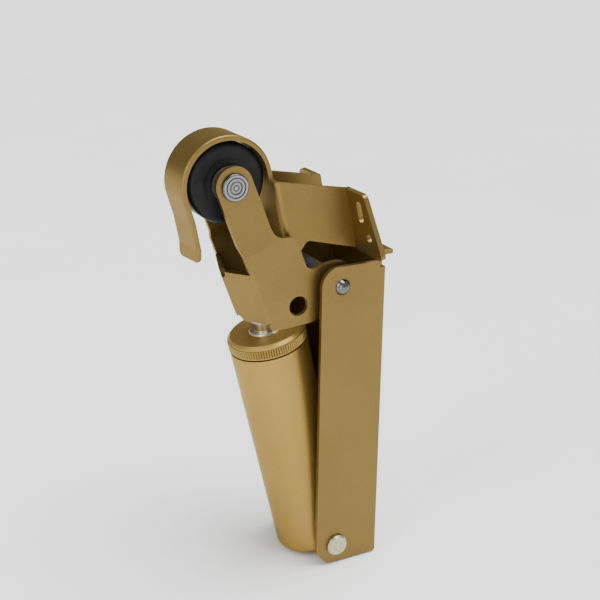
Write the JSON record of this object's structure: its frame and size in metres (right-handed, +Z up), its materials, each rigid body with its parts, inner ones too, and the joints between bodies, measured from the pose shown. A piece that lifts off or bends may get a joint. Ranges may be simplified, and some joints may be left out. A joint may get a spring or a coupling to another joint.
{
  "type": "door closer",
  "caption": "Hook-type hydraulic door closer: channel housing, sprung roller lever, slim cylinder and a curled catch hook with slotted flanges.",
  "frame": {"origin": "middle of the back face of the housing, the face that sits on the door", "axes": "+Y into the door, so the closer stands out along -Y; +X across the housing; +Z up"},
  "size_m": [0.0794, 0.1074, 0.2293],
  "materials": {
    "gold_lacquer": "satin gold metallic lacquer",
    "bright_pin": "polished",
    "zinc_pin": "pale zinc plating",
    "roller_rubber": "matt black",
    "roller_nylon": "black nylon",
    "dark_bush": "blue-grey acetal",
    "bronze_bush": "sintered bronze",
    "bright_rod": "ground and plated",
    "plain_steel": "turned",
    "gland_alloy": "turned",
    "seal_rubber": "nitrile"
  },
  "bodies": {
    "frame": {"housing": "gold_lacquer", "lever_pivot_pin": "bright_pin", "lever_pin_retainer": "zinc_pin", "pivot_washer_right": "dark_bush", "pivot_washer_left": "dark_bush", "cylinder_pin": "zinc_pin", "cylinder_pin_retainer": "zinc_pin", "cylinder_washer_right": "dark_bush", "cylinder_washer_left": "dark_bush"},
    "lever": {"roller_lever": "gold_lacquer", "pivot_bush": "dark_bush", "rod_pin": "gold_lacquer", "rod_pin_spacer_right": "plain_steel", "rod_pin_spacer_left": "plain_steel", "roller_axle": "zinc_pin", "axle_washer_right": "plain_steel", "axle_washer_left": "plain_steel"},
    "roller": {"roller_tyre": "roller_rubber", "roller_hub": "roller_nylon", "roller_bush": "bronze_bush"},
    "catch_hook": {"hook": "gold_lacquer"},
    "cylinder": {"cylinder_tube": "gold_lacquer", "cylinder_base": "plain_steel", "gland": "gland_alloy", "gland_o_ring": "seal_rubber", "rod_seal": "seal_rubber", "return_spring": "plain_steel"},
    "regulator": {"regulating_ring": "gold_lacquer"},
    "rod": {"piston_rod": "bright_rod", "rod_eye": "plain_steel", "piston": "plain_steel", "piston_seal": "seal_rubber", "piston_nut": "plain_steel"}
  },
  "joints": [
    {"name": "lever_swing", "type": "hinge", "parent": "frame", "child": "lever", "pos_m": [0, -0.0245, 0.071], "axis": [-1, 0, 0], "range_deg": [0, 36], "stiffness_Nm_per_rad": 6, "springref_deg": -22.92},
    {"name": "roller_spin", "type": "hinge", "parent": "lever", "child": "roller", "pos_m": [0, -0.0774, 0.1241], "axis": [1, 0, 0], "continuous": true},
    {"name": "hook_tilt", "type": "hinge", "parent": "lever", "child": "catch_hook", "pos_m": [0, -0.0774, 0.1241], "axis": [-1, 0, 0], "range_deg": [-36.5, 0]},
    {"name": "cylinder_tilt", "type": "hinge", "parent": "frame", "child": "cylinder", "pos_m": [0, -0.0245, -0.0715], "axis": [-1, 0, 0], "range_deg": [0, 2]},
    {"name": "rod_slide", "type": "slide", "parent": "cylinder", "child": "rod", "axis": [0, -0.2334, 0.9724], "range_m": [0, 0.0206], "deforming": ["return_spring"]},
    {"name": "regulator_turn", "type": "hinge", "parent": "cylinder", "child": "regulator", "pos_m": [0, -0.05259, 0.04208], "axis": [0, -0.2334, 0.9724], "range_deg": [-90, 90]}
  ],
  "couplings": [
    {"joint": "hook_tilt", "follows": "lever_swing", "ratio": -1},
    {"joint": "cylinder_tilt", "follows": "lever_swing", "ratio": 0.052},
    {"joint": "rod_slide", "follows": "lever_swing", "m_per_rad": 0.0325}
  ]
}
